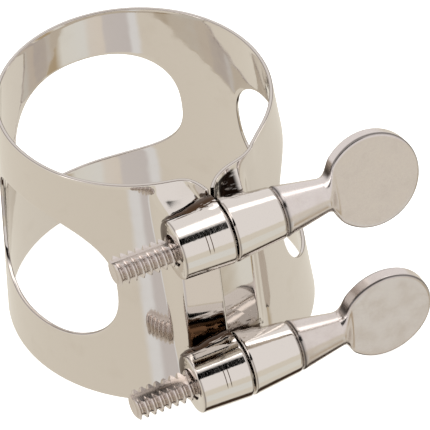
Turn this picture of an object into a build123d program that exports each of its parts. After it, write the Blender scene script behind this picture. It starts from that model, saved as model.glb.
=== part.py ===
"""Two-screw sheet-metal saxophone ligature.

Millimetres, +Z up.  The ring's axis is Z and the wide rim stands on Z = 0.
The gap faces -Y, the screws lie along X with their thumb discs at +X.
"""
from math import copysign, cos, exp, hypot, radians, sin
import os

from build123d import *

os.makedirs("parts", exist_ok=True)

# Band: one strip of sheet rolled to a slightly conical, slightly oval ring.
BAND_HEIGHT = 24.0
SHEET = 0.4
TOP_HALF_WIDTH = 12.85      # across the gap direction, outer face, narrow rim
TOP_HALF_DEPTH = 14.5       # along the gap direction
RIM_FLARE_WIDTH = 1.75      # how much wider the other rim is, half measures
RIM_FLARE_DEPTH = 1.95

# Ends: the strip's two ends step out to a pad for the posts and turn outward at both rims.
LIP_GAP = 0.12              # open gap between the two ends
LIP_REACH = 17.1            # ring axis to the ends at the rims
LIP_START_ANGLE = 24.0      # measured from the gap, where the oval ends
LEFT_HOOK = 0.45            # how sharply the ends turn out at the rims
RIGHT_HOOK = 1.6
PAD_REACH = 17.0            # ring axis to the pad's face at the gap
PAD_SLOPE = 0.2             # the pad's two halves lean back from the gap, rise over run
PAD_HALF_WIDTH = 3.4
PAD_STEP = 1.3              # width of the bend between pad and oval
PAD_FADE = 3.5              # height over which the pad runs out at each rim

# Windows: three large rounded openings, equal heights.
WINDOW_HEIGHT = 13.2
WINDOW_CENTRE_HEIGHT = 12.2
SIDE_WINDOW_ANGLE = 75.0    # centre, measured from the gap on both sides
SIDE_WINDOW_SPAN = 80.0     # degrees round the ring
BACK_WINDOW_SPAN = 76.0
WINDOW_SQUARENESS = 2.54    # 2 is an ellipse, larger is squarer

# Screw positions.
SCREW_REACH = 19.6          # ring axis to screw axes
UPPER_SCREW_HEIGHT = 20.75
LOWER_SCREW_HEIGHT = 4.9
UPPER_DISC_TURN = 80.0      # disc plane, turned from lying flat
LOWER_DISC_TURN = 94.0

# Posts: barrels soldered to the pad, fattest at the gap.
POST_LENGTH = 5.2           # each one, from the gap outward
POST_GAP_RADIUS = 3.02
THREADED_POST_END_RADIUS = 2.85
PLAIN_POST_END_RADIUS = 2.5
POST_EDGE = 0.22            # small chamfers on the end faces
BORE_CLEARANCE = 0.06       # radial, screw in post
SEAT_CLEARANCE = 0.05       # screw shoulder to post face
LIP_CLEARANCE = 0.03        # plain posts to the sheet, as they are on the moving side
POST_GAP = 0.1              # gap plane to each post's inner face
FOOT_START = 0.4            # solder foot under each post, from the gap plane
FOOT_HALF_HEIGHT = 1.7
FOOT_DEPTH = 1.2            # half its length out of the barrel's side

# Thumbscrews.
THREAD_RADIUS = 1.45
THREAD_PITCH = 0.75
THREAD_DEPTH = 0.4
THREAD_CREST = 0.12         # width at the crest, share of a pitch
THREAD_ROOT = 0.86          # width at the root
THREAD_OVERLAP = 0.1        # how far the ridge reaches into the core
THREAD_FLAT = 1.2           # axis to the two flats left along the casting seam
SCREW_TIP = 11.2            # tip's distance from the gap plane
TIP_CHAMFER = 0.25
SHOULDER_EDGE = 0.35        # chamfer on the shoulder's seat
SHOULDER_RADIUS = 2.45
NECK_RADIUS = 1.65
NECK_END = 9.9              # distance from the gap plane to the neck's thin end
BLADE_END = 12.6            # where the cone has run out into the disc's faces
DISC_RADIUS = 4.72
DISC_THICKNESS = 1.55
DISC_CENTRE = 14.75         # distance from the gap plane
DISC_EDGE = 0.3             # rounding of the disc's two rims
NECK_BLEND = 1.0            # hollow rounding where the rim runs into the neck
STEM_SHARE = 0.93           # the plate's stem stays inside the neck's cone

RING_POINTS = 44
LIP_POINTS = 16
WINDOW_POINTS = 40


def ring_axes(height):
    """Half width and half depth of the ring's outer face at a height."""
    share = 1.0 - height / BAND_HEIGHT
    return TOP_HALF_WIDTH + RIM_FLARE_WIDTH * share, TOP_HALF_DEPTH + RIM_FLARE_DEPTH * share


def ring_point(height, angle):
    """Point on the oval and its outward normal; the angle runs from the gap towards -X."""
    width, depth = ring_axes(height)
    across, along = sin(radians(angle)), cos(radians(angle))
    radius = 1.0 / hypot(across / width, along / depth)
    x, y = -radius * across, -radius * along
    nx, ny = x / width ** 2, y / depth ** 2
    size = hypot(nx, ny)
    return (x, y), (nx / size, ny / size)


def ease(share):
    share = min(max(share, 0.0), 1.0)
    return share * share * (3 - 2 * share)


def lip_points(height, on_pad, hook):
    """Points and outward normals along the left end's outer face, gap first."""
    width, depth = ring_axes(height)
    start, _ = ring_point(height, LIP_START_ANGLE)
    tip = LIP_GAP / 2 if on_pad else LIP_GAP / 2 + SHEET

    def reach(across):
        oval = depth * (1 - (across / width) ** 2) ** 0.5
        if not on_pad:
            return oval + (LIP_REACH - oval) * exp(-(across - tip) / hook)
        pad = PAD_REACH - PAD_SLOPE * across
        return oval + (pad - oval) * ease((PAD_HALF_WIDTH + PAD_STEP - across) / PAD_STEP)

    result = []
    for step in range(LIP_POINTS):
        across = tip + (-start[0] - tip) * (step / LIP_POINTS) ** 1.3
        y = -reach(across)
        if on_pad:
            nx, ny = -across / width ** 2, y / depth ** 2
        else:
            nx, ny = reach(across + 0.01) - reach(across - 0.01), -0.02
        size = hypot(nx, ny)
        result.append(((-across, y), (nx / size, ny / size)))
    return result


def band_outline(height, on_pad):
    """Points and outward normals of the whole strip's outer face at a height."""
    left = lip_points(height, on_pad, LEFT_HOOK)
    ring_angle = 360.0 - 2 * LIP_START_ANGLE
    ring = [ring_point(height, LIP_START_ANGLE + ring_angle * step / RING_POINTS)
            for step in range(RING_POINTS + 1)]
    right = [((-p[0], p[1]), (-n[0], n[1])) for p, n in reversed(lip_points(height, on_pad, RIGHT_HOOK))]
    return left + ring + right


def band_section(height, on_pad, filled=False):
    """The strip's cross-section at a height, or the whole former inside its outer face."""
    walk = band_outline(height, on_pad)
    outer = [(p[0], p[1], height) for p, n in walk]
    if filled:
        return make_face([Spline(*outer), Line(outer[-1], outer[0])])
    inner = [(p[0] - n[0] * SHEET, p[1] - n[1] * SHEET, height) for p, n in walk]
    edges = [
        Spline(*outer),
        Line(outer[-1], inner[-1]),
        Spline(*reversed(inner)),
        Line(inner[0], outer[0]),
    ]
    return make_face(edges)


def band_loft(filled=False):
    levels = ((0.0, False), (PAD_FADE, True), (BAND_HEIGHT - PAD_FADE, True), (BAND_HEIGHT, False))
    return loft([band_section(height, on_pad, filled) for height, on_pad in levels], ruled=True)


def window_cutter(angle, span):
    """A prism through the wall, its outline squarer than an ellipse."""
    point, _ = ring_point(WINDOW_CENTRE_HEIGHT, angle)
    radius = hypot(*point)
    outline = []
    for step in range(WINDOW_POINTS):
        turn = radians(360.0 * step / WINDOW_POINTS)
        share = copysign(abs(cos(turn)) ** (2 / WINDOW_SQUARENESS), cos(turn))
        rise = copysign(abs(sin(turn)) ** (2 / WINDOW_SQUARENESS), sin(turn))
        outline.append((radius * sin(radians(share * span / 2)), rise * WINDOW_HEIGHT / 2))
    plane = Plane(
        origin=(0, 0, WINDOW_CENTRE_HEIGHT),
        x_dir=(cos(radians(angle)), -sin(radians(angle)), 0),
        z_dir=(-sin(radians(angle)), -cos(radians(angle)), 0),
    )
    face = make_face(Spline(*outline, periodic=True))
    return plane * extrude(face, 2 * radius)


def build_band():
    blank = band_loft()
    for angle, span in (
        (SIDE_WINDOW_ANGLE, SIDE_WINDOW_SPAN),
        (180.0, BACK_WINDOW_SPAN),
        (-SIDE_WINDOW_ANGLE, SIDE_WINDOW_SPAN),
    ):
        blank -= window_cutter(angle, span)
    return blank


def screw_frame(height):
    """Local Z along the screw axis towards the disc, local X up."""
    return Plane(origin=(0, -SCREW_REACH, height), x_dir=(0, 0, 1), z_dir=(1, 0, 0))


def build_post(height, side, end_radius, former):
    """One barrel on its solder foot; side -1 is the threaded one, +1 the plain one."""
    outline = Polyline(
        (0, POST_GAP),
        (POST_GAP_RADIUS - POST_EDGE, POST_GAP),
        (POST_GAP_RADIUS, POST_GAP + POST_EDGE),
        (end_radius, POST_LENGTH - POST_EDGE),
        (end_radius - POST_EDGE, POST_LENGTH),
        (0, POST_LENGTH),
        close=True,
    )
    barrel = revolve(Plane.XZ * make_face(outline), Axis.Z)
    foot_middle = (FOOT_START + PAD_HALF_WIDTH) / 2
    barrel += Pos(0, -POST_GAP_RADIUS, foot_middle) * Box(
        2 * FOOT_HALF_HEIGHT, 2 * FOOT_DEPTH, PAD_HALF_WIDTH - FOOT_START)
    barrel -= Cylinder(THREAD_RADIUS + BORE_CLEARANCE, 3 * POST_LENGTH)
    if side < 0:
        barrel = mirror(barrel, about=Plane.XY)
    seated = screw_frame(height) * barrel
    clearance = LIP_CLEARANCE if side > 0 else 0.0
    seated -= Pos(clearance, -clearance, 0) * former
    seated -= Pos(0, -clearance, 0) * former
    return seated.solids().sort_by(SortBy.VOLUME)[-1]


def build_disc():
    """Round thumb plate with a stem that the neck's cone swallows."""
    stem_start = (SHOULDER_RADIUS + NECK_RADIUS) / 2 * STEM_SHARE
    stem_end = NECK_RADIUS * STEM_SHARE
    stem_bottom = (POST_LENGTH + NECK_END) / 2
    stem = make_face(Polyline(
        (-stem_start, stem_bottom),
        (stem_start, stem_bottom),
        (stem_end, DISC_CENTRE),
        (-stem_end, DISC_CENTRE),
        close=True,
    ))
    outline = Pos(0, DISC_CENTRE) * Circle(DISC_RADIUS) + stem
    corners = outline.vertices().filter_by(lambda v: stem_bottom < v.Y - NECK_BLEND < DISC_CENTRE)
    outline = fillet(corners, NECK_BLEND)
    plate = extrude(outline, DISC_THICKNESS / 2, both=True)
    rims = plate.faces().sort_by(Axis.Z)[0].edges() + plate.faces().sort_by(Axis.Z)[-1].edges()
    return Rot(X=90) * fillet(rims, DISC_EDGE)


def build_thread():
    """Right-hand ridge wound round the shank's core."""
    root = THREAD_RADIUS - THREAD_DEPTH
    half_root = THREAD_ROOT * THREAD_PITCH / 2
    half_crest = THREAD_CREST * THREAD_PITCH / 2
    ridge = Polyline(
        (-THREAD_OVERLAP, -half_root),
        (0, -half_root),
        (THREAD_DEPTH, -half_crest),
        (THREAD_DEPTH, half_crest),
        (0, half_root),
        (-THREAD_OVERLAP, half_root),
        close=True,
    )
    path = Helix(THREAD_PITCH, SCREW_TIP - TIP_CHAMFER, root)
    start = Plane(origin=path @ 0, x_dir=(1, 0, 0), z_dir=path % 0)
    return sweep(start * make_face(ridge), path, is_frenet=True)


def build_screw(height, disc_turn):
    """Casting about local Z: threaded shank, conical shoulder, neck and disc."""
    root = THREAD_RADIUS - THREAD_DEPTH
    seat = POST_LENGTH + SEAT_CLEARANCE
    profile = Polyline(
        (0, -SCREW_TIP),
        (root - TIP_CHAMFER, -SCREW_TIP),
        (root, -SCREW_TIP + TIP_CHAMFER),
        (root, POST_GAP),
        (THREAD_RADIUS, POST_GAP + THREAD_DEPTH),
        (THREAD_RADIUS, seat),
        (SHOULDER_RADIUS - SHOULDER_EDGE, seat),
        (SHOULDER_RADIUS, seat + SHOULDER_EDGE),
        (NECK_RADIUS, NECK_END),
        (DISC_THICKNESS / 2 - DISC_EDGE, BLADE_END),
        (0, BLADE_END),
        close=True,
    )
    screw = revolve(Plane.XZ * make_face(profile), Axis.Z) + build_disc()
    screw += Pos(0, 0, -SCREW_TIP + TIP_CHAMFER / 2) * build_thread()
    flat_cut = Box(2 * THREAD_RADIUS, 2 * THREAD_RADIUS, SCREW_TIP)
    for side in (-1, 1):
        screw -= Pos(side * (THREAD_FLAT + THREAD_RADIUS), 0, -SCREW_TIP / 2) * flat_cut
    return screw_frame(height) * Rot(Z=disc_turn - 90) * screw


if __name__ == "__main__":
    former = band_loft(filled=True)
    parts = {"band": build_band()}
    for level, height, disc_turn in (
        ("upper", UPPER_SCREW_HEIGHT, UPPER_DISC_TURN),
        ("lower", LOWER_SCREW_HEIGHT, LOWER_DISC_TURN),
    ):
        parts[level + "_threaded_post"] = build_post(height, -1, THREADED_POST_END_RADIUS, former)
        parts[level + "_plain_post"] = build_post(height, 1, PLAIN_POST_END_RADIUS, former)
        parts[level + "_thumbscrew"] = build_screw(height, disc_turn)
    for name, shape in parts.items():
        solids = shape.solids()
        print(name, len(solids), "solid", round(sum(s.volume for s in solids), 2), "mm3")
        if len(solids) != 1:
            raise ValueError(name + " is not one solid")
        export_step(solids[0], "parts/" + name + ".step")
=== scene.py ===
"""Nickel-plated saxophone ligature: a sprung band, four barrel posts and two thumbscrews."""
import math
import bmesh
import bpy
from bpy.props import FloatProperty, FloatVectorProperty, PointerProperty
from mathutils import Matrix, Vector


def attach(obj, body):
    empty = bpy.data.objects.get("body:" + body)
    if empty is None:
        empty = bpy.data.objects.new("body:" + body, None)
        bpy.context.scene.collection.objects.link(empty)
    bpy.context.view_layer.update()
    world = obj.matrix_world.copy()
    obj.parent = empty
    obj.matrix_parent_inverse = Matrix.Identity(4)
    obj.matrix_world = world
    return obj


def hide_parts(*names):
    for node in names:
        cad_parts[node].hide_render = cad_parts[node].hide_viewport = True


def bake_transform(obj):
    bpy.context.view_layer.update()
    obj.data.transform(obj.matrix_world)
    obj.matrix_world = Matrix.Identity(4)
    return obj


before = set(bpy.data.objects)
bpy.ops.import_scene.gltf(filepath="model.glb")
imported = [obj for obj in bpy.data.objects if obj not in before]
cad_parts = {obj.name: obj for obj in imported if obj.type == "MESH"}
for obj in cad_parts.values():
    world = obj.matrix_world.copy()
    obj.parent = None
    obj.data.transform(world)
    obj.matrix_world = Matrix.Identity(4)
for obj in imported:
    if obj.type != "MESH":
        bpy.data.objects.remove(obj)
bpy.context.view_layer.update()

bl_info = {
    "name": "Saxophone ligature",
    "version": (1, 0, 0),
    "blender": (4, 5, 0),
    "location": "3D View > Sidebar > Ligature",
    "description": "Builds a two-screw saxophone ligature and its studio",
    "category": "Object",
}

MM = 0.001


def from_hex(code):
    """Linear, opaque colour of an sRGB hex value."""
    parts = [int(code[i:i + 2], 16) / 255 for i in (0, 2, 4)]
    return (*(c / 12.92 if c <= 0.04045 else ((c + 0.055) / 1.055) ** 2.4 for c in parts), 1.0)


def length(label, about, millimetres):
    return FloatProperty(name=label, description=about, default=millimetres * MM, min=0.0,
                         precision=5, subtype="DISTANCE", unit="LENGTH")


def turn(label, about, degrees):
    return FloatProperty(name=label, description=about, default=math.radians(degrees),
                         subtype="ANGLE", unit="ROTATION")


def number(label, about, value, highest=1.0):
    return FloatProperty(name=label, description=about, default=value, min=0.0, max=highest)


def colour(label, about, code):
    return FloatVectorProperty(name=label, description=about, default=from_hex(code), size=4,
                               min=0.0, max=1.0, subtype="COLOR")


class BandSizes(bpy.types.PropertyGroup):
    height: length("Height", "Height of the band along the mouthpiece", 24.0)
    sheet: length("Sheet", "Thickness of the brass sheet", 0.4)
    top_half_width: length("Top half width", "Half the oval's width at the small rim", 12.85)
    top_half_depth: length("Top half depth", "Half the oval's depth at the small rim", 14.5)
    flare_width: length("Flare across", "Extra half width at the large rim", 1.75)
    flare_depth: length("Flare along", "Extra half depth at the large rim", 1.95)
    lip_gap: length("Lip gap", "Opening between the two ends of the sheet", 0.12)
    lip_reach: length("Lip reach", "Distance from the bore's centre to the ends at the rims", 17.1)
    lip_start: turn("Lip start", "Angle from the gap at which the sheet leaves the oval", 24.0)
    pad_half_width: length("Pad half width", "Half the flat pad that the posts sit on", 3.4)
    pad_step: length("Pad step", "Width of the step between the pad and the oval", 1.3)
    pad_slope: number("Pad slope", "How far the pad's halves lean back, rise over run", 0.2)
    pad_reach: length("Pad reach", "Distance from the bore's centre to the pad's face", 17.0)
    pad_fade: length("Pad fade", "Height over which the pad runs out at each rim", 3.5)
    left_hook: length("Left hook", "How sharply the left end turns out at the rims", 0.45)
    right_hook: length("Right hook", "How sharply the right end turns out at the rims", 1.6)
    right_swell: length("Right swell", "Bulge of the right shoulder at the small rim", 0.6)
    window_height: length("Window height", "Height of the three windows", 13.2)
    window_middle: length("Window middle", "Height of the windows' centres", 12.2)
    side_angle: turn("Side window angle", "Angle from the gap to a side window's centre", 75.0)
    side_span: turn("Side window span", "Width of a side window round the band", 80.0)
    back_span: turn("Back window span", "Width of the back window round the band", 76.0)
    squareness: number("Squareness", "2 is an ellipse, more is squarer", 2.54, 6.0)
    edge: length("Edge rounding", "Tumbled rounding of the sheet's edges", 0.1)


class ScrewSizes(bpy.types.PropertyGroup):
    reach: length("Screw reach", "Distance from the bore's centre to the screws' axes", 19.6)
    upper_height: length("Upper height", "Height of the upper screw's axis", 20.75)
    lower_height: length("Lower height", "Height of the lower screw's axis", 4.9)
    upper_turn: turn("Upper disc turn", "Tilt of the upper disc, 90 degrees is upright", 80.0)
    lower_turn: turn("Lower disc turn", "Tilt of the lower disc, 90 degrees is upright", 94.0)
    post_length: length("Post length", "Outer end of each post from the middle", 5.2)
    post_gap: length("Post gap", "From the middle to each post's inner face", 0.1)
    gap_radius: length("Post radius at gap", "Radius of the posts where they meet", 3.02)
    threaded_end: length("Threaded post end", "Radius of a threaded post's outer end", 2.85)
    plain_end: length("Plain post end", "Radius of a plain post's outer end", 2.5)
    post_edge: length("Post edge", "Rounding of the posts' rims", 0.22)
    solder_reach: length("Solder reach", "How far the solder runs behind each barrel", 0.95)
    solder_rise: length("Solder rise", "How far the solder rises behind each barrel", 0.42)
    bore_clearance: length("Bore clearance", "Radial gap between screw and post", 0.06)
    thread_radius: length("Thread radius", "Outer radius of the thread", 1.45)
    thread_pitch: length("Thread pitch", "Distance between two crests", 0.75)
    thread_depth: length("Thread depth", "Height of the crests", 0.4)
    thread_flat: length("Thread flat", "Distance from the axis to the ground flats", 1.2)
    tip: length("Tip", "Screw's tip from the middle", 11.2)
    seat: length("Seat", "Shoulder's face from the middle", 5.25)
    shoulder_radius: length("Shoulder radius", "Radius of the shoulder at its seat", 2.45)
    neck_radius: length("Neck radius", "Radius of the neck", 1.65)
    neck_end: length("Neck end", "Where the cone ends", 9.9)
    disc_radius: length("Disc radius", "Radius of the thumb disc", 4.72)
    disc_thickness: length("Disc thickness", "Thickness of the thumb disc", 1.55)
    disc_centre: length("Disc centre", "Disc's centre from the middle", 14.75)
    disc_edge: length("Disc edge", "Rounding of the disc's rim", 0.34)
    blend: length("Neck blend", "Hollow between neck and rim", 1.5)


class Finishes(bpy.types.PropertyGroup):
    nickel: colour("Nickel", "Bright nickel plate", "E0DBD6")
    nickel_satin: colour("Satin nickel", "Nickel over a tumbled casting", "DBD4D2")
    tarnish: colour("Tarnish", "Warm film in corners and along edges", "9A7F5E")
    # painted black shade: a dark reflection on the sheet behind the upper post, and dark lines on
    # the screws' rims and shoulders
    painted_black_shade: colour("Soot", "Burnt flux left beside the solder", "1C130E")
    # painted brown shade: dark reflections and shade along rounded edges, round and behind the
    # barrels, and two lines on the threaded posts
    painted_brown_shade: colour("Grime", "Dark polish residue in grooves", "4A3626")


class Studio(bpy.types.PropertyGroup):
    ceiling: colour("Ceiling", "Light of the room from above", "F8F4F2")
    walls: colour("Walls", "Light of the room from below the horizon", "FBF4E6")
    shadow: colour("Bench shadow", "Dark bench seen by the undersides", "45352A")
    softbox: number("Softbox strength", "How much brighter the lamp is than the room", 2.2, 10.0)
    dimming: number("Bench strength", "Brightness of the room below the horizon", 0.83)
    camera_turn: turn("Camera turn", "Angle round the object from straight ahead", -20.435)
    camera_rise: turn("Camera rise", "Angle above the floor", 37.676)
    camera_roll: turn("Camera roll", "Tilt of the camera about its own axis", -7.356)
    camera_distance: length("Camera distance", "From the camera to what it aims at", 395.05)
    aim_across: length("Aim across", "Left of the middle", 0.701)
    aim_front: length("Aim forward", "In front of the bore's centre", 19.504)
    aim_height: length("Aim height", "Above the floor", 22.897)


def millimetres(group, name):
    return getattr(group, name) / MM


# ---- shared modelling steps -------------------------------------------------

def clear_selection():
    if bpy.context.object is not None and bpy.context.object.mode != "OBJECT":
        bpy.ops.object.mode_set(mode="OBJECT")
    bpy.ops.object.select_all(action="DESELECT")


def pick(obj):
    clear_selection()
    obj.select_set(True)
    bpy.context.view_layer.objects.active = obj


def edit_mesh(obj):
    pick(obj)
    bpy.ops.object.mode_set(mode="EDIT")
    bpy.ops.mesh.select_mode(type="VERT")
    return bmesh.from_edit_mesh(obj.data)


def select_where(bm, kind, test):
    """Selects the vertices, edges or faces that pass a test on the element."""
    bpy.ops.mesh.select_all(action="DESELECT")
    bpy.ops.mesh.select_mode(type={"verts": "VERT", "edges": "EDGE", "faces": "FACE"}[kind])
    for item in getattr(bm, kind):
        item.select_set(bool(test(item)))
    bm.select_flush_mode()


def apply_modifiers(obj):
    pick(obj)
    for modifier in list(obj.modifiers):
        bpy.ops.object.modifier_apply(modifier=modifier.name)


def add_modifier(obj, kind, **settings):
    modifier = obj.modifiers.new(kind.title(), kind)
    for name, value in settings.items():
        setattr(modifier, name, value)
    apply_modifiers(obj)


def shape_points(obj, place):
    """Lays each vertex where place(x, y, z) says."""
    for vertex in obj.data.vertices:
        vertex.co = place(*vertex.co)
    obj.data.update()


def mark_vertices(obj, name, measure):
    """Keeps a measure of each vertex for its material."""
    layer = obj.data.attributes.new(name, "FLOAT", "POINT")
    for mark, vertex in zip(layer.data, obj.data.vertices):
        mark.value = measure(vertex.co)


def face_outwards(obj):
    bm = edit_mesh(obj)
    if bm.calc_volume(signed=True) < 0:
        bpy.ops.mesh.select_all(action="SELECT")
        bpy.ops.mesh.flip_normals()
    bpy.ops.object.mode_set(mode="OBJECT")


def join_into(target, others):
    pick(target)
    for other in others:
        other.select_set(True)
    bpy.ops.object.join()


def finish_piece(obj, name, material, smooth_degrees=35.0):
    """Brings a piece modelled in millimetres to metres, smooths it and gives it its finish."""
    pick(obj)
    obj.name = name
    obj.data.name = name
    obj.scale = (MM, MM, MM)
    bpy.ops.object.transform_apply(location=True, rotation=True, scale=True)
    bpy.ops.object.shade_smooth_by_angle(angle=math.radians(smooth_degrees))
    obj.data.materials.clear()
    obj.data.materials.append(material)
    add_modifier(obj, "WEIGHTED_NORMAL", mode="FACE_AREA", weight=50, keep_sharp=True)
    return obj


# ---- band -------------------------------------------------------------------

def ring_place(band, level, angle):
    """Outer point and outward normal on the oval at one rim; level 0 is the large rim."""
    width = millimetres(band, "top_half_width") + millimetres(band, "flare_width") * (1 - level)
    depth = millimetres(band, "top_half_depth") + millimetres(band, "flare_depth") * (1 - level)
    across, along = math.sin(angle), math.cos(angle)
    radius = 1.0 / math.hypot(across / width, along / depth)
    point = Vector((-radius * across, -radius * along))
    normal = Vector((point.x / width ** 2, point.y / depth ** 2)).normalized()
    return point, normal


def ease(share):
    share = min(max(share, 0.0), 1.0)
    return share * share * (3 - 2 * share)


def front_place(band, share, height, side):
    """Outer point and normal on the left front; share is 0 at the oval, 1 at the gap."""
    share = min(share, 1.0)
    level = height / millimetres(band, "height")
    width = millimetres(band, "top_half_width") + millimetres(band, "flare_width") * (1 - level)
    depth = millimetres(band, "top_half_depth") + millimetres(band, "flare_depth") * (1 - level)
    start = ring_place(band, level, band.lip_start)[0]
    fade = millimetres(band, "pad_fade")
    pad = ease(height / fade) * ease((millimetres(band, "height") - height) / fade)
    tip = millimetres(band, "lip_gap") / 2 + millimetres(band, "sheet") * (1 - pad)
    crowding = 1.3          # brings the columns closer together towards the gap
    across = tip + (-start.x - tip) * (1 - share) ** crowding
    nudge = 0.01

    def reach(x):
        oval = depth * math.sqrt(1 - (x / width) ** 2)
        hook = millimetres(band, "left_hook" if side < 0 else "right_hook")
        hooked = oval + (millimetres(band, "lip_reach") - oval) * math.exp(-(x - tip) / hook)
        half, step = millimetres(band, "pad_half_width"), millimetres(band, "pad_step")
        face = millimetres(band, "pad_reach") - band.pad_slope * x
        stepped = oval + (face - oval) * ease((half + step - x) / step)
        return hooked + (stepped - hooked) * pad

    bent = Vector((reach(across + nudge) - reach(across - nudge), -2 * nudge)).normalized()
    plain = Vector((-across / width ** 2, -reach(across) / depth ** 2)).normalized()
    return Vector((-across, -reach(across))), bent.lerp(plain, pad).normalized()


LIP_RUN = 9.0               # millimetres of the flat blank given to each end
LIP_COLUMNS = 44
BLANK_PER_DEGREE = 0.262    # millimetres of the flat blank for a degree round the band
BLANK_END = 225             # degrees; past the back, so the back window is punched whole
COLUMN_DEGREES = 1.5
ROW = 0.5                   # millimetres between the blank's rows
SWELL_AT = 20               # degrees from the gap to the right shoulder's bulge
SWELL_SPREAD = 9            # degrees over which the bulge falls away
SHARP = 1.0                 # an edge that turns by more than this, in radians, gets rounded


def wrap_sheet(band, along, height, depth, side):
    """Where a point of the flat blank lies once the sheet is bent round its former."""
    level = height / millimetres(band, "height")
    if along < 0:
        point, normal = front_place(band, -along / LIP_RUN, height, side)
    else:
        angle = band.lip_start + math.radians(along / BLANK_PER_DEGREE)
        point, normal = ring_place(band, level, angle)
    if side > 0:
        swell = millimetres(band, "right_swell") * level
        turned = math.degrees(math.atan2(-point.x, -point.y))
        point += point.normalized() * swell * math.exp(-((turned - SWELL_AT) / SWELL_SPREAD) ** 2)
    place = point + normal * depth
    return (place.x, place.y, height)


def punch_window(obj, middle, height_middle, half_run, half_height, squareness, margins):
    """Opens a grid-aligned hole in the blank and draws its edge in to the window's outline."""
    bm = edit_mesh(obj)
    low, high, left, right = margins

    def inside(x, y):
        return left < x < right and low < y < high

    select_where(bm, "faces", lambda f: inside(*f.calc_center_median().xy))
    bpy.ops.mesh.delete(type="FACE")
    slack = 0.01
    select_where(bm, "edges", lambda e: e.is_boundary and all(
        left - slack < v.co.x < right + slack and low - slack < v.co.y < high + slack
        for v in e.verts))
    steps = 4
    for step in range(steps):
        bpy.ops.mesh.extrude_edges_move()
        for vertex in bm.verts:
            if not vertex.select:
                continue
            x, y = vertex.co.x - middle, vertex.co.y - height_middle
            size = (abs(x / half_run) ** squareness + abs(y / half_height) ** squareness)
            target = Vector((x, y, 0)) / size ** (1 / squareness)
            share = 1 / (steps - step)
            vertex.co = vertex.co.lerp(target + Vector((middle, height_middle, 0)), share)
    bmesh.update_edit_mesh(obj.data)
    bpy.ops.object.mode_set(mode="OBJECT")


def make_band_half(band, name, side):
    """One half of the band: a blank with its windows, thickened, rounded and bent."""
    clear_selection()
    start = math.degrees(band.lip_start)
    columns_on_ring = round((BLANK_END - start) / COLUMN_DEGREES)
    ring_run = columns_on_ring * COLUMN_DEGREES * BLANK_PER_DEGREE
    seam = (180 - start) * BLANK_PER_DEGREE
    height = millimetres(band, "height")
    rows = round(height / ROW)
    step = COLUMN_DEGREES * BLANK_PER_DEGREE
    bpy.ops.mesh.primitive_grid_add(x_subdivisions=columns_on_ring + LIP_COLUMNS,
                                    y_subdivisions=rows, size=2)
    blank = bpy.context.object
    blank_run = ring_run + LIP_COLUMNS * step
    bpy.ops.object.mode_set(mode="EDIT")
    bpy.ops.mesh.select_all(action="SELECT")
    bpy.ops.transform.resize(value=(blank_run / 2, height / 2, 1))
    bpy.ops.transform.translate(value=(ring_run - blank_run / 2, height / 2, 0))
    bpy.ops.object.mode_set(mode="OBJECT")

    def column(degrees):
        return round((degrees - start) / COLUMN_DEGREES) * step

    middle = millimetres(band, "window_middle")
    half_height = millimetres(band, "window_height") / 2
    margin, side_margin = 0.8, 3        # millimetres above and below, degrees to each side
    low = math.floor((middle - half_height - margin) / ROW) * ROW
    high = math.ceil((middle + half_height + margin) / ROW) * ROW
    for angle, span in ((band.side_angle, band.side_span), (math.pi, band.back_span)):
        centre, half = math.degrees(angle), math.degrees(span) / 2
        punch_window(blank, (centre - start) * BLANK_PER_DEGREE, middle,
                     half * BLANK_PER_DEGREE, half_height, band.squareness,
                     (low, high, column(centre - half - side_margin),
                      column(centre + half + side_margin)))
    bm = edit_mesh(blank)
    select_where(bm, "faces", lambda f: f.calc_center_median().x > seam)
    bpy.ops.mesh.delete(type="FACE")
    bpy.ops.object.mode_set(mode="OBJECT")
    add_modifier(blank, "SOLIDIFY", thickness=millimetres(band, "sheet"), offset=-1.0)
    bm = edit_mesh(blank)
    select_where(bm, "edges", lambda e: len(e.link_faces) == 2
                 and e.calc_face_angle(0) > SHARP
                 and not all(abs(v.co.x - seam) < 0.01 for v in e.verts))
    bpy.ops.mesh.bevel(offset=millimetres(band, "edge"), segments=3, affect="EDGES",
                       clamp_overlap=False)
    bpy.ops.object.mode_set(mode="OBJECT")
    sheet = millimetres(band, "sheet")
    mark_vertices(blank, "edge_share", lambda v: min(-v.z, sheet + v.z) / sheet)
    squeeze = LIP_RUN / (LIP_COLUMNS * step)
    shape_points(blank, lambda x, y, z: wrap_sheet(band, x * squeeze if x < 0 else x, y, z, side))
    if side > 0:
        pick(blank)
        blank.scale.x = -1
        bpy.ops.object.transform_apply(scale=True)
    face_outwards(blank)
    return finish_piece(blank, name, finish_of("polished_sheet"))


# ---- turned parts -----------------------------------------------------------

def turn_on_lathe(start_radius, start_x, profile, vertices=96):
    """A round bar along X, drawn out station by station: (x, radius) after the first."""
    clear_selection()
    bpy.ops.mesh.primitive_circle_add(vertices=vertices, radius=start_radius, fill_type="NGON",
                                      location=(start_x, 0, 0),
                                      rotation=(0, math.radians(90), 0))
    bar = bpy.context.object
    bpy.ops.object.transform_apply(location=True, rotation=True, scale=True)
    edit_mesh(bar)
    bpy.ops.mesh.select_mode(type="FACE")
    bpy.ops.mesh.select_all(action="SELECT")
    x, radius = start_x, start_radius
    for next_x, next_radius in profile:
        bpy.ops.mesh.extrude_region_move(TRANSFORM_OT_translate={"value": (next_x - x, 0, 0)})
        scale = next_radius / radius
        bpy.ops.transform.resize(value=(1, scale, scale), center_override=(next_x, 0, 0))
        x, radius = next_x, next_radius
    bpy.ops.object.mode_set(mode="OBJECT")
    return bar


def place_on_axis(obj, screws, height, roll=0.0):
    """Turns a piece made about the X axis to its roll and lifts it to its screw's axis."""
    pick(obj)
    obj.rotation_euler = (roll, 0, 0)
    obj.location = (0, -millimetres(screws, "reach"), height)
    bpy.ops.object.transform_apply(location=True, rotation=True, scale=True)


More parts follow.
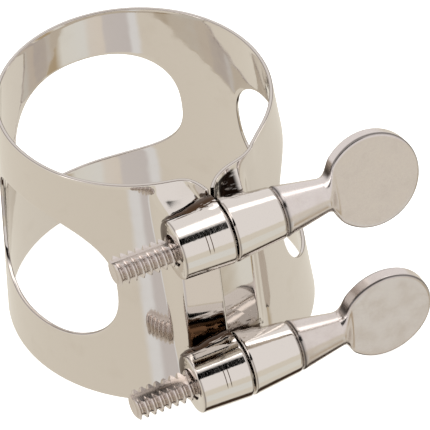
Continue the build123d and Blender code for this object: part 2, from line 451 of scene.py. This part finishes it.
def make_solder(screws, side, end_radius):
    """Solder drawn up behind the barrel's top where it meets the sheet."""
    share = 1.0 if side < 0 else 0.5
    reach = millimetres(screws, "solder_reach") * share
    rise = millimetres(screws, "solder_rise") * share
    gap_radius = millimetres(screws, "gap_radius")
    start, end = millimetres(screws, "post_gap") + 0.1, millimetres(screws, "post_length") - 0.3
    stations = 12
    sunk, taper = 0.15, 0.65 if side < 0 else 0.9
    profile = [(start + (end - start) * k / stations, gap_radius - sunk - taper * k / stations)
               for k in range(1, stations + 1)]
    solder = turn_on_lathe(gap_radius - 2 * sunk, start, profile)
    for vertex in solder.data.vertices:
        wave = 0.03 * math.sin(vertex.co.x * 3.1 + vertex.co.y) + 0.02 * math.sin(vertex.co.x * 7.3)
        vertex.co.y += reach + wave
        vertex.co.z += rise * (1 - 0.08 * vertex.co.x) + wave
    face_outwards(solder)
    bite = 0.08
    barrel = turn_on_lathe(gap_radius - bite, start - 1, [(end + 1, end_radius - bite)])
    face_outwards(barrel)
    add_modifier(solder, "BOOLEAN", operation="DIFFERENCE", object=barrel, solver="EXACT")
    bpy.data.objects.remove(barrel)
    edit_mesh(solder)
    # it ends a little inside the sheet, and a little above the barrel's middle
    inside, lowest = 0.2, 0.4
    pad_reach = millimetres(bpy.context.scene.ligature_band, "pad_reach")
    sheet_face = millimetres(screws, "reach") - pad_reach + inside
    for cut_at, away in (((0, sheet_face, 0), (0, 1, 0)), ((0, 0, lowest), (0, 0, -1))):
        bpy.ops.mesh.select_all(action="SELECT")
        bpy.ops.mesh.bisect(plane_co=cut_at, plane_no=away, use_fill=True, clear_outer=True)
    bpy.ops.object.mode_set(mode="OBJECT")
    return solder


def make_post(screws, name, side, height):
    """One barrel: turned, bored through and rounded at its rims."""
    gap = millimetres(screws, "post_gap")
    end = millimetres(screws, "post_length")
    gap_radius = millimetres(screws, "gap_radius")
    end_radius = millimetres(screws, "threaded_end" if side < 0 else "plain_end")
    bore = millimetres(screws, "thread_radius") + millimetres(screws, "bore_clearance")
    stations = 16
    run, taper = end - gap, end_radius - gap_radius
    profile = [(gap + run * k / stations, gap_radius + taper * k / stations)
               for k in range(1, stations + 1)]
    post = turn_on_lathe(gap_radius, gap, profile, 128)
    bm = edit_mesh(post)
    select_where(bm, "faces", lambda f: len(f.verts) > 4)
    bpy.ops.mesh.inset(thickness=0.01, use_individual=True)
    for vertex in bm.verts:
        if vertex.select:
            size = bore / math.hypot(vertex.co.y, vertex.co.z)
            vertex.co.y *= size
            vertex.co.z *= size
    bpy.ops.mesh.delete(type="FACE")
    select_where(bm, "edges", lambda e: e.is_boundary)
    bpy.ops.mesh.bridge_edge_loops()
    # the outer rims first, then what is still sharp: the rims of the bore
    for inner_limit, rounding, segments in ((bore + 0.2, millimetres(screws, "post_edge"), 3),
                                            (0.0, 0.1, 2)):
        select_where(bm, "edges", lambda e: len(e.link_faces) == 2
                     and e.calc_face_angle(0) > SHARP
                     and math.hypot(*e.verts[0].co.yz) > inner_limit)
        bpy.ops.mesh.bevel(offset=rounding, segments=segments, affect="EDGES",
                           clamp_overlap=False)
    bpy.ops.object.mode_set(mode="OBJECT")
    face_outwards(post)
    mark_vertices(post, "edge_share", lambda v: min(v.x - gap, end - v.x, 0.3) / 0.3)
    join_into(post, [make_solder(screws, side, end_radius)])
    if side < 0:
        post.scale.x = -1
        bpy.ops.object.transform_apply(scale=True)
    face_outwards(post)
    place_on_axis(post, screws, height)
    return finish_piece(post, name, finish_of("turned_barrel"))


# ---- thumbscrews ------------------------------------------------------------

def grind_flats(core, flat):
    """Takes the thread's crests off on two opposite sides, leaving a low ridge along each."""
    ridge_height, slack = 0.22, 0.01
    for sign in (1, -1):
        clear_selection()
        bpy.ops.mesh.primitive_cube_add(size=2, location=(-6, 0, sign * (flat + 1)))
        stone = bpy.context.object
        stone.scale = (8, 2, 1)
        bpy.ops.object.transform_apply(location=True, rotation=True, scale=True)
        bm = edit_mesh(stone)
        face = sign * flat

        def along_middle(edge):
            first, second = (vertex.co for vertex in edge.verts)
            on_middle = all(abs(p.y) < slack and abs(p.z - face) < slack for p in (first, second))
            return on_middle and abs(first.x - second.x) > slack

        select_where(bm, "faces", lambda f: abs(f.calc_center_median().z - face) < slack)
        bpy.ops.mesh.subdivide(number_cuts=1)
        select_where(bm, "edges", along_middle)
        bpy.ops.transform.translate(value=(0, 0, -sign * ridge_height))
        bpy.ops.object.mode_set(mode="OBJECT")
        face_outwards(stone)
        add_modifier(core, "BOOLEAN", operation="DIFFERENCE", object=stone, solver="EXACT")
        bpy.data.objects.remove(stone)


def cut_thread(screws):
    """The threaded shank: a ridge wound on a core, ground flat on two sides."""
    radius, pitch = millimetres(screws, "thread_radius"), millimetres(screws, "thread_pitch")
    depth, tip = millimetres(screws, "thread_depth"), millimetres(screws, "tip")
    root, end = radius - depth, 0.3
    core = turn_on_lathe(root, -tip + 0.02, [(end + 0.1, root)], 64)
    clear_selection()
    bpy.ops.mesh.primitive_circle_add(vertices=6, radius=0.3, fill_type="NOTHING")
    ridge = bpy.context.object
    # half widths are shares of the pitch; the ridge's foot is buried in the core
    foot, crest, buried = 0.43, 0.07, root - 0.1
    outline = [(-foot, buried), (-foot, root), (-crest, radius), (crest, radius),
               (foot, root), (foot, buried)]
    for vertex, (x, r) in zip(ridge.data.vertices, outline):
        vertex.co = (x * pitch - tip - pitch, 0, r)
    turns = math.ceil((tip + end + pitch) / pitch) + 1
    add_modifier(ridge, "SCREW", axis="X", angle=2 * math.pi, screw_offset=pitch,
                 iterations=turns, steps=48, render_steps=48, use_normal_calculate=True)
    bm = edit_mesh(ridge)
    select_where(bm, "edges", lambda e: e.is_boundary)
    bpy.ops.mesh.edge_face_add()
    bpy.ops.mesh.select_all(action="SELECT")
    bpy.ops.mesh.normals_make_consistent(inside=False)
    bpy.ops.object.mode_set(mode="OBJECT")
    face_outwards(core)
    add_modifier(core, "BOOLEAN", operation="UNION", object=ridge, solver="EXACT")
    # trimmed to length, with a domed and chamfered tip
    envelope = turn_on_lathe(root - 0.3, -tip, [
        (-tip + 0.03, root - 0.05), (-tip + 0.12, root + 0.12), (-tip + 0.35, radius + 0.01),
        (end, radius + 0.01)], 64)
    face_outwards(envelope)
    add_modifier(core, "BOOLEAN", operation="INTERSECT", object=envelope, solver="EXACT")
    grind_flats(core, millimetres(screws, "thread_flat"))
    for spare in (ridge, envelope):
        bpy.data.objects.remove(spare)
    mark_vertices(core, "root_share", lambda v: (radius - math.hypot(v.y, v.z)) / depth
                  if v.x < 0 else 0.0)
    pick(core)
    core.rotation_euler = (-math.pi / 2, 0, 0)
    bpy.ops.object.transform_apply(location=True, rotation=True, scale=True)
    return core


def head_section(screws, x):
    """Half width of the head at x, and how far its section has turned from round to plate."""
    neck = millimetres(screws, "neck_radius")
    neck_end = millimetres(screws, "neck_end")
    centre, disc = millimetres(screws, "disc_centre"), millimetres(screws, "disc_radius")
    blend = millimetres(screws, "blend")
    # the hollow is an arc outside both the neck's side and the disc's circle
    reach = disc + blend
    arc_y = neck + blend
    arc_x = centre - math.sqrt(max(reach ** 2 - arc_y ** 2, 0.0))
    touch_x = centre + (arc_x - centre) * disc / reach
    if x <= arc_x:
        half = neck
    elif x < touch_x:
        half = arc_y - math.sqrt(blend ** 2 - (x - arc_x) ** 2)
    else:
        half = math.sqrt(max(disc ** 2 - (x - centre) ** 2, 0.0))
    settled = touch_x + 0.6     # from here on the section is all plate
    return half, ease((x - neck_end) / (settled - neck_end))


def make_head(screws):
    """Neck, hollow blend and thumb disc as one skin, drawn section by section along X."""
    centre, disc = millimetres(screws, "disc_centre"), millimetres(screws, "disc_radius")
    neck, neck_end = millimetres(screws, "neck_radius"), millimetres(screws, "neck_end")
    edge = millimetres(screws, "disc_edge")
    thickness = millimetres(screws, "disc_thickness")
    wall = thickness / 2 - edge
    around = 96
    quarter = around // 4
    # even steps through the hollow, then even turns round the disc
    hollow, stride, disc_steps = 1.6, 0.2, 44
    stations = [neck_end + 0.02 + stride * k for k in range(round(hollow / stride))]
    first_turn = math.acos((centre - neck_end - hollow) / disc)
    stations += [centre - disc * math.cos(first_turn + (math.pi - first_turn) * k / disc_steps)
                 for k in range(disc_steps + 1)]
    clear_selection()
    bpy.ops.mesh.primitive_grid_add(x_subdivisions=len(stations) - 1, y_subdivisions=around,
                                    size=2)
    skin = bpy.context.object
    wall_share, round_share = 0.15, 0.45
    # past the hollow, the rim's rounding passes over to following the disc's circle
    circle_start, circle_run = centre - disc * 0.85, disc * 0.25

    def section_point(x, k):
        half, plate = head_section(screws, x)
        sector, step = divmod(k, quarter)
        t = step / quarter
        # one quarter runs from the rim's middle to the face's middle
        angle = t * math.pi / 2
        if sector in (1, 3):
            angle = (1 - t) * math.pi / 2
        round_y, round_z = neck * math.cos(angle), neck * math.sin(angle)
        u = angle / (math.pi / 2)
        if u < wall_share:
            y, z = half, wall * u / wall_share
        else:
            v = (u - wall_share) / (1 - wall_share)
            if v < round_share:
                inset = edge * (1 - math.cos(v / round_share * math.pi / 2))
            else:
                inset = edge + max(half - edge, 0) * (v - round_share) / (1 - round_share)
            y = max(half - inset, 0.0)
            depth = half - y
            on_disc = ease((x - circle_start) / circle_run)
            depth += (disc - math.hypot(x - centre, y) - depth) * on_disc
            z = wall + math.sqrt(max(edge ** 2 - max(edge - depth, 0.0) ** 2, 0.0))
        py = round_y + (y - round_y) * plate
        pz = round_z + (z - round_z) * plate
        return (py if sector in (0, 3) else -py), (pz if sector in (0, 1) else -pz)

    columns = len(stations)
    for vertex in skin.data.vertices:
        column = round((vertex.co.x + 1) / 2 * (columns - 1))
        row = round((vertex.co.y + 1) / 2 * around) % around
        x = stations[column]
        y, z = section_point(x, row)
        vertex.co = (x, y, z)
    plate_start = centre - disc * math.cos(first_turn) - 0.3

    def edge_share(point):
        share = min(max(abs(point.z) - wall, 0.0) / edge, 1.0)
        return share + (1 - share) * min(max(plate_start - point.x, 0.0), 1.0)

    mark_vertices(skin, "edge_share", edge_share)
    edit_mesh(skin)
    bpy.ops.mesh.select_all(action="SELECT")
    bpy.ops.mesh.remove_doubles(threshold=0.004)
    bpy.ops.mesh.normals_make_consistent(inside=False)
    bpy.ops.object.mode_set(mode="OBJECT")
    return skin


def make_thumbscrew(screws, name, height, disc_turn):
    """Threaded shank, seated conical shoulder, neck and disc."""
    shank = cut_thread(screws)
    radius, seat = millimetres(screws, "thread_radius"), millimetres(screws, "seat")
    shoulder, neck = millimetres(screws, "shoulder_radius"), millimetres(screws, "neck_radius")
    neck_end = millimetres(screws, "neck_end")
    stations = 14
    # the shoulder's face is rounded in three short steps, then the cone runs to the neck
    cone = [(seat + 0.3 + (neck_end - seat - 0.3) * k / stations,
             shoulder + (neck - shoulder) * (k / stations)) for k in range(stations + 1)]
    body = turn_on_lathe(radius, 0.3, [
        (seat, radius), (seat + 0.001, shoulder - 0.3), (seat + 0.04, shoulder - 0.17),
        (seat + 0.14, shoulder - 0.06)] + cone + [(neck_end + 0.05, neck)], 96)
    face_outwards(body)
    mark_vertices(body, "edge_share", lambda v: min(max(v.x - seat, 0.0) / 0.4, 1.0))
    head = make_head(screws)
    join_into(body, [shank, head])
    place_on_axis(body, screws, height, disc_turn)
    return finish_piece(body, name, finish_of("satin_casting"), 40.0)


# ---- finishes ---------------------------------------------------------------

SMOOTH = {"interpolation_type": "SMOOTHSTEP"}
COLOURS = {"data_type": "RGBA"}
TIMES = {"operation": "MULTIPLY"}
PLUS = {"operation": "ADD"}
TIMES_PLUS = {"operation": "MULTIPLY_ADD"}


def add_node(tree, kind, inputs=None, settings=None, output=0):
    """Adds a shader node, sets or links its inputs, and hands back one output."""
    node = tree.nodes.new("ShaderNode" + kind)
    for key, value in (settings or {}).items():
        setattr(node, key, value)
    for key, value in (inputs or {}).items():
        if isinstance(value, bpy.types.NodeSocket):
            tree.links.new(value, node.inputs[key])
        else:
            node.inputs[key].default_value = value
    return node.outputs[output] if len(node.outputs) else None


def patch(tree, *limits):
    """How strongly a patch covers, from smooth limits: source, low, high, value at low, at high."""
    cover = None
    for source, low, high, *values in limits:
        first, last = values or (0.0, 1.0)
        span = {"Value": source, "From Min": low, "From Max": high, "To Min": first, "To Max": last}
        limit = add_node(tree, "MapRange", span, SMOOTH)
        if cover is not None:
            limit = add_node(tree, "Math", {0: cover, 1: limit}, TIMES)
        cover = limit
    return cover


def new_material(name):
    """An empty material, its tree, and Object coordinates counted in millimetres."""
    material = bpy.data.materials.new(name)
    material.use_nodes = True
    tree = material.node_tree
    tree.nodes.clear()
    where = add_node(tree, "TexCoord", output="Object")
    space = add_node(tree, "Mapping", {"Vector": where, "Scale": (1 / MM,) * 3})
    return material, tree, space


def metal_surface(tree, base, roughness, normal):
    """Bare metal, with the default IOR, under a colour, a roughness and a fine relief."""
    metal = add_node(tree, "BsdfPrincipled", {
        "Metallic": 1.0, "Base Color": base, "Roughness": roughness, "Normal": normal})
    add_node(tree, "OutputMaterial", {"Surface": metal})


def painted_edge_shade(tree, base, tint, start, end, strength):
    """A fine dark line painted along the rounded edges, standing for shade and dark reflections
    there.
    """
    share = add_node(tree, "Attribute", settings={"attribute_name": "edge_share"}, output="Fac")
    middle = (start + end) / 2
    line = patch(tree, (share, start, middle, 0.0, strength), (share, middle, end, 1.0, 0.0))
    return add_node(tree, "Mix", {0: line, 6: base, 7: tint}, COLOURS, 2)


def polished_sheet(finishes):
    """Bright nickel plate on rolled brass sheet, buffed: mirror clear with a faint waviness."""
    material, tree, space = new_material("nickel_plated_brass_buffed")
    screws = bpy.context.scene.ligature_screws
    x, y, z = add_node(tree, "SeparateXYZ", {"Vector": space}).node.outputs
    normal = add_node(tree, "TexCoord", output="Normal")
    facing = add_node(tree, "SeparateXYZ", {"Vector": normal}, output="Y")

    # a warm film in clouds about 3 mm wide
    cloud = add_node(tree, "TexNoise", {"Vector": space, "Scale": 0.35, "Detail": 3.0})
    film = add_node(tree, "MapRange",
                    {"Value": cloud, "From Min": 0.55, "From Max": 0.8, "To Max": 0.07})
    base = add_node(tree, "Mix", {0: film, 6: finishes.nickel, 7: finishes.tarnish},
                    COLOURS, 2)

    # painted shade with ragged ends round the screws' axes, on the sheet beside the barrels, on the
    # outside only
    drawn_out = add_node(tree, "Mapping", {"Vector": space, "Scale": (0.7, 3.0, 3.0)})
    streaks = add_node(tree, "TexNoise", {"Vector": drawn_out, "Scale": 1.0, "Detail": 4.0})
    forward = add_node(tree, "Math", {0: y, 1: millimetres(screws, "reach")}, PLUS)
    for level in ("upper_height", "lower_height"):
        above = add_node(tree, "Math", {0: z, 1: -millimetres(screws, level)}, PLUS)
        both = add_node(tree, "CombineXYZ", {"X": forward, "Y": above})
        away = add_node(tree, "VectorMath", {0: both}, {"operation": "LENGTH"}, "Value")
        ragged = add_node(tree, "Math", {0: streaks, 1: -2.4, 2: away}, TIMES_PLUS)
        painted_barrel_shade = patch(tree, (ragged, 2.2, 2.5, 0.85, 0.0), (facing, 0.1, -0.1))
        base = add_node(tree, "Mix", {0: painted_barrel_shade, 6: base, 7: finishes.painted_brown_shade}, COLOURS, 2)

    # painted dark reflection, in streaks, on the right end of the sheet, behind the upper post
    painted_black_shade = patch(tree, (x, 0.9, 1.3), (x, 3.0, 3.6, 1.0, 0.0), (y, -10.0, -11.0),
                 (z, 20.6, 21.4), (z, 23.5, 23.7, 1.0, 0.0), (facing, -0.2, -0.5),
                 (streaks, 0.3, 0.45, 0.5, 1.0))
    base = add_node(tree, "Mix", {0: painted_black_shade, 6: base, 7: finishes.painted_black_shade}, COLOURS, 2)
    # painted dark reflection along the sheet's rounded edges
    base = painted_edge_shade(tree, base, finishes.painted_brown_shade, 0.04, 0.28, 0.9)

    # smears a millimetre wide dull the mirror; the buffing wheel left 2 mm waves and fine grit
    smear = add_node(tree, "TexNoise", {"Vector": space, "Scale": 1.2, "Detail": 4.0})
    rough = add_node(tree, "MapRange", {
        "Value": smear, "From Min": 0.35, "From Max": 0.7, "To Min": 0.03, "To Max": 0.1})
    wave = add_node(tree, "TexNoise", {"Vector": space, "Scale": 0.5, "Detail": 1.0})
    grit = add_node(tree, "TexNoise", {"Vector": space, "Scale": 9.0, "Detail": 2.0})
    relief = add_node(tree, "Bump", {"Height": wave, "Strength": 0.25, "Distance": 0.06 * MM})
    relief = add_node(tree, "Bump", {
        "Height": grit, "Strength": 0.15, "Distance": 0.002 * MM, "Normal": relief})
    metal_surface(tree, base, rough, relief)
    return material


def turned_barrel(finishes):
    """Bright nickel on turned brass: crisp reflections over the fine rings left by the lathe."""
    material, tree, space = new_material("nickel_plated_brass_turned")
    x, y, _ = add_node(tree, "SeparateXYZ", {"Vector": space}).node.outputs
    normal = add_node(tree, "TexCoord", output="Normal")
    facing_up = add_node(tree, "SeparateXYZ", {"Vector": normal}, output="Z")

    # painted shade and dark reflection on the barrels' backs next to the sheet, in streaks, more on
    # the threaded posts
    drawn_out = add_node(tree, "Mapping", {"Vector": space, "Scale": (0.5, 4.0, 4.0)})
    streaks = add_node(tree, "TexNoise", {"Vector": drawn_out, "Scale": 1.0, "Detail": 4.0})
    ragged = add_node(tree, "Math", {0: streaks, 1: 3.0, 2: y}, TIMES_PLUS)
    painted_back_shade = patch(tree, (ragged, -17.45, -17.2), (x, 0.3, -0.3, 0.35, 1.0))
    base = add_node(tree, "Mix", {0: painted_back_shade, 6: finishes.nickel, 7: finishes.painted_brown_shade},
                    COLOURS, 2)

    # two short painted dark reflection lines, 0.4 mm apart, half way along each threaded post
    from_middle = add_node(tree, "Math", {0: x, 1: 2.5}, PLUS)
    pair = add_node(tree, "Math", {0: from_middle, 1: 0.2}, {"operation": "PINGPONG"})
    painted_reflection_lines = patch(tree, (x, -2.75, -2.74), (x, -2.26, -2.25, 1.0, 0.0), (pair, 0.14, 0.18),
                   (facing_up, 0.12, 0.3), (facing_up, 0.72, 0.78, 1.0, 0.0))
    base = add_node(tree, "Mix", {0: painted_reflection_lines, 6: base, 7: finishes.painted_brown_shade}, COLOURS, 2)
    # painted shade and dark reflection in rings near each barrel's ends
    base = painted_edge_shade(tree, base, finishes.painted_brown_shade, 0.1, 0.9, 0.6)

    # tool rings 0.07 mm apart, and pits a third of a millimetre wide
    squeezed = add_node(tree, "Mapping", {"Vector": space, "Scale": (14.0, 0.5, 0.5)})
    rings = add_node(tree, "TexNoise", {"Vector": squeezed, "Scale": 1.0, "Detail": 2.0})
    pits = add_node(tree, "TexNoise", {"Vector": space, "Scale": 3.2, "Detail": 5.0})
    rough = add_node(tree, "MapRange", {
        "Value": rings, "From Min": 0.3, "From Max": 0.7, "To Min": 0.03, "To Max": 0.09})
    relief = add_node(tree, "Bump", {"Height": rings, "Strength": 0.4, "Distance": 0.005 * MM})
    relief = add_node(tree, "Bump", {
        "Height": pits, "Strength": 0.35, "Distance": 0.014 * MM, "Normal": relief})
    metal_surface(tree, base, rough, relief)
    return material


def satin_casting(finishes):
    """Nickel over a tumbled casting: a soft satin sheen with cloudy patches."""
    material, tree, space = new_material("nickel_plated_casting_satin")
    z = add_node(tree, "SeparateXYZ", {"Vector": space}, output="Z")
    cloud = add_node(tree, "TexNoise", {"Vector": space, "Scale": 0.6, "Detail": 4.0})
    mottle = add_node(tree, "TexNoise", {"Vector": space, "Scale": 4.5, "Detail": 3.0})
    satin = patch(tree, (mottle, 0.35, 0.65, 0.55, 1.0))
    base = add_node(tree, "Mix", {0: satin, 6: finishes.nickel, 7: finishes.nickel_satin},
                    COLOURS, 2)

    # handling has warmed the plate in clouds and in the thread's roots, and the plate is browner in
    # clouds towards the bottom, from 13 mm down to 7 mm
    root = add_node(tree, "Attribute", settings={"attribute_name": "root_share"}, output="Fac")
    for film in (patch(tree, (cloud, 0.45, 0.8, 0.0, 0.09)),
                 patch(tree, (z, 13.0, 7.0, 0.0, 0.1), (cloud, 0.35, 0.6, 0.5, 1.0)),
                 patch(tree, (root, 0.5, 1.0, 0.0, 0.2))):
        base = add_node(tree, "Mix", {0: film, 6: base, 7: finishes.tarnish}, COLOURS, 2)
    # painted dark reflection along the disc's rim, and painted shade in the shoulder's groove
    base = painted_edge_shade(tree, base, finishes.painted_black_shade, 0.0, 1.0, 0.85)

    # the tumbling barrel's grain, drawn a little coarser than it is so that it shows
    rough = add_node(tree, "MapRange", {
        "Value": cloud, "From Min": 0.3, "From Max": 0.7, "To Min": 0.14, "To Max": 0.26})
    grain = add_node(tree, "TexNoise", {"Vector": space, "Scale": 7.0, "Detail": 3.0})
    relief = add_node(tree, "Bump", {"Height": grain, "Strength": 0.3, "Distance": 0.006 * MM})
    metal_surface(tree, base, rough, relief)
    return material


def white_paper():
    """Matt white paper, a little lifted so that it prints clean: a plain pale floor."""
    material, tree, space = new_material("matt_white_paper")
    fibre = add_node(tree, "TexNoise", {"Vector": space, "Scale": 0.13})
    tone = add_node(tree, "Mix", {0: fibre, 6: from_hex("F2F1EE"), 7: from_hex("F6F5F2")},
                    COLOURS, 2)
    paper = add_node(tree, "BsdfDiffuse", {"Color": tone})
    lift = add_node(tree, "Emission", {"Strength": 0.75})
    both = add_node(tree, "AddShader", {0: paper, 1: lift})
    add_node(tree, "OutputMaterial", {"Surface": both})
    return material


FINISHES = {"polished_sheet": polished_sheet, "turned_barrel": turned_barrel,
            "satin_casting": satin_casting}
MADE = {}


def finish_of(name):
    if name not in MADE:
        MADE[name] = FINISHES[name](bpy.context.scene.ligature_finishes)
    return MADE[name]


# ---- studio -----------------------------------------------------------------

# What the sheet mirrors from the room's walls, by compass degrees from straight ahead
WALL_TONES = ((-180, "FBF4E6"), (-46, "F6EEE0"), (-42, "FFFFFF"), (-36, "FFFFFF"),
              (-33, "E6E0DE"), (-10, "E9E3E0"), (-7, "FBF2E6"), (6, "FBF4EA"), (12, "FFFFFA"),
              (38, "FFFDF4"), (47, "C9B595"), (60, "CDBB9E"), (66, "F8F2E6"), (179, "FBF4E6"))


def light_room(studio):
    """A white room: toned walls, a dark bench below, a lamp overhead and a black flag before it."""
    world = bpy.data.worlds.new("studio")
    world.use_nodes = True
    tree = world.node_tree
    tree.nodes.clear()
    where = add_node(tree, "TexCoord", output="Generated")
    split = add_node(tree, "SeparateXYZ", {"Vector": where}).node
    across, along, up = split.outputs
    ahead = add_node(tree, "Math", {0: along, 1: -1.0}, TIMES)
    swing = add_node(tree, "Math", {0: up, 1: ahead}, {"operation": "ARCTAN2"})
    angle = add_node(tree, "Math", {0: swing, 1: 180 / math.pi}, TIMES)

    compass = add_node(tree, "Math", {0: across, 1: ahead}, {"operation": "ARCTAN2"})
    share = add_node(tree, "MapRange",
                     {"Value": compass, "From Min": -math.pi, "From Max": math.pi})
    walls = add_node(tree, "ValToRGB", {"Fac": share})
    stops = walls.node.color_ramp.elements
    for degrees, code in WALL_TONES:
        stops.new(degrees / 360 + 0.5).color = from_hex(code)
    stops.remove(stops[0])

    # the upright sheet mirrors only a belt of the walls, some 22 to 52 degrees down, here in radians
    height = add_node(tree, "Math", {0: up}, {"operation": "ARCSINE"})
    low_down = patch(tree, (height, -0.9, -0.8), (height, -0.45, -0.38, 1.0, 0.0))
    # the barrels mirror the rest, by degrees round the screws' axes from straight ahead
    below = patch(tree, (angle, -6, 0))
    flag = patch(tree, (angle, 45, 48), (angle, 67, 76, 1.0, 0.0), (across, 0.22, 0.3, 1.0, 0.0))
    bench = patch(tree, (angle, -112, -104), (angle, -84, -74, 1.0, 0.0), (across, -0.15, -0.05),
                  (across, 0.5, 0.6, 1.0, 0.0))
    light = studio.walls
    for cover, tone in ((below, studio.ceiling), (low_down, walls), (flag, from_hex("000000")),
                        (bench, studio.shadow)):
        light = add_node(tree, "Mix", {0: cover, 6: light, 7: tone}, COLOURS, 2)

    left_lamp = patch(tree, (angle, 76, 82), (angle, 100, 112, 1.0, 0.0),
                      (across, 0.24, 0.34, 1.0, 0.0))
    right_lamp = patch(tree, (angle, 95, 104), (angle, 112, 122, 1.0, 0.0), (across, 0.24, 0.34))
    lamp = add_node(tree, "Math", {0: left_lamp, 1: right_lamp}, PLUS)
    dim = patch(tree, (angle, -6, 0, studio.dimming, 1.0))
    strength = add_node(tree, "MapRange", {"Value": lamp, "To Min": dim, "To Max": studio.softbox})
    mirrored = add_node(tree, "Background", {"Color": light, "Strength": strength})
    plain = add_node(tree, "Background", {"Color": from_hex("FFFFFF")})
    glossy = add_node(tree, "LightPath", output="Is Glossy Ray")
    seen = add_node(tree, "MixShader", {0: glossy, 1: plain, 2: mirrored})
    add_node(tree, "OutputWorld", {"Surface": seen})
    return world


# ---- operators --------------------------------------------------------------

class LIGATURE_OT_band(bpy.types.Operator):
    """Builds the band as two halves and puts the left half on the fixed end"""
    bl_idname = "ligature.band"
    bl_label = "Build band"

    def execute(self, context):
        band = context.scene.ligature_band
        left = make_band_half(band, "band_left_half", -1)
        right = make_band_half(band, "band_right_half", 1)
        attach(left, "fixed_end")
        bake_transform(right)
        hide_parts("band")
        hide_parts("band")
        return {"FINISHED"}


class LIGATURE_OT_posts(bpy.types.Operator):
    """Builds the four barrel posts"""
    bl_idname = "ligature.posts"
    bl_label = "Build posts"

    def execute(self, context):
        screws = context.scene.ligature_screws
        for level in ("upper", "lower"):
            height = millimetres(screws, level + "_height")
            for kind, side, body in (("threaded", -1, "fixed_end"), ("plain", 1, "free_end")):
                node = f"{level}_{kind}_post"
                post = make_post(screws, node + "_turned", side, height)
                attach(post, body)
                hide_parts(node)
        return {"FINISHED"}


class LIGATURE_OT_thumbscrews(bpy.types.Operator):
    """Builds the two thumbscrews"""
    bl_idname = "ligature.thumbscrews"
    bl_label = "Build thumbscrews"

    def execute(self, context):
        screws = context.scene.ligature_screws
        for level in ("upper", "lower"):
            height = millimetres(screws, level + "_height")
            disc_turn = getattr(screws, level + "_turn")
            screw = make_thumbscrew(screws, level + "_thumbscrew_cast", height, disc_turn)
            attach(screw, level + "_screw")
            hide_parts(level + "_thumbscrew")
        return {"FINISHED"}


class LIGATURE_OT_stage(bpy.types.Operator):
    """Sets the pale floor, the soft studio and the camera"""
    bl_idname = "ligature.stage"
    bl_label = "Build stage"

    def execute(self, context):
        scene, studio = context.scene, context.scene.ligature_studio
        clear_selection()
        bpy.ops.mesh.primitive_plane_add(size=3.0, location=(0, 0, 0))
        floor = context.object
        floor.name = "floor"
        floor.data.materials.append(white_paper())
        floor.visible_glossy = False
        scene.world = light_room(studio)
        scene.view_settings.view_transform = "Standard"

        bpy.ops.object.camera_add()
        camera = context.object
        camera.data.sensor_width = 36
        camera.data.lens = 366.32
        camera.data.clip_start = 0.01
        aim = Vector((-studio.aim_across, -studio.aim_front, studio.aim_height))
        camera.matrix_world = (Matrix.Translation(aim)
                               @ Matrix.Rotation(studio.camera_turn, 4, "Z")
                               @ Matrix.Rotation(math.pi / 2 - studio.camera_rise, 4, "X")
                               @ Matrix.Rotation(studio.camera_roll, 4, "Z")
                               @ Matrix.Translation((0, 0, studio.camera_distance)))
        scene.camera = camera
        return {"FINISHED"}


class LIGATURE_PT_panel(bpy.types.Panel):
    """Sizes, finishes and the steps that build the ligature"""
    bl_label = "Saxophone ligature"
    bl_idname = "LIGATURE_PT_panel"
    bl_space_type = "VIEW_3D"
    bl_region_type = "UI"
    bl_category = "Ligature"

    def draw(self, context):
        layout = self.layout
        for operator in (LIGATURE_OT_band, LIGATURE_OT_posts, LIGATURE_OT_thumbscrews,
                         LIGATURE_OT_stage):
            layout.operator(operator.bl_idname)
        for group in GROUPS:
            settings = getattr(context.scene, group)
            box = layout.box()
            for name in settings.bl_rna.properties.keys():
                if name not in ("rna_type", "name"):
                    box.prop(settings, name)


CLASSES = (BandSizes, ScrewSizes, Finishes, Studio, LIGATURE_OT_band, LIGATURE_OT_posts,
           LIGATURE_OT_thumbscrews, LIGATURE_OT_stage, LIGATURE_PT_panel)
GROUPS = {"ligature_band": BandSizes, "ligature_screws": ScrewSizes,
          "ligature_finishes": Finishes, "ligature_studio": Studio}


def register():
    for cls in CLASSES:
        bpy.utils.register_class(cls)
    for name, group in GROUPS.items():
        setattr(bpy.types.Scene, name, PointerProperty(type=group))


def unregister():
    for name in GROUPS:
        delattr(bpy.types.Scene, name)
    for cls in reversed(CLASSES):
        bpy.utils.unregister_class(cls)


def main():
    register()
    bpy.ops.ligature.band()
    bpy.ops.ligature.posts()
    bpy.ops.ligature.thumbscrews()
    bpy.ops.ligature.stage()


if __name__ == "__main__":
    main()
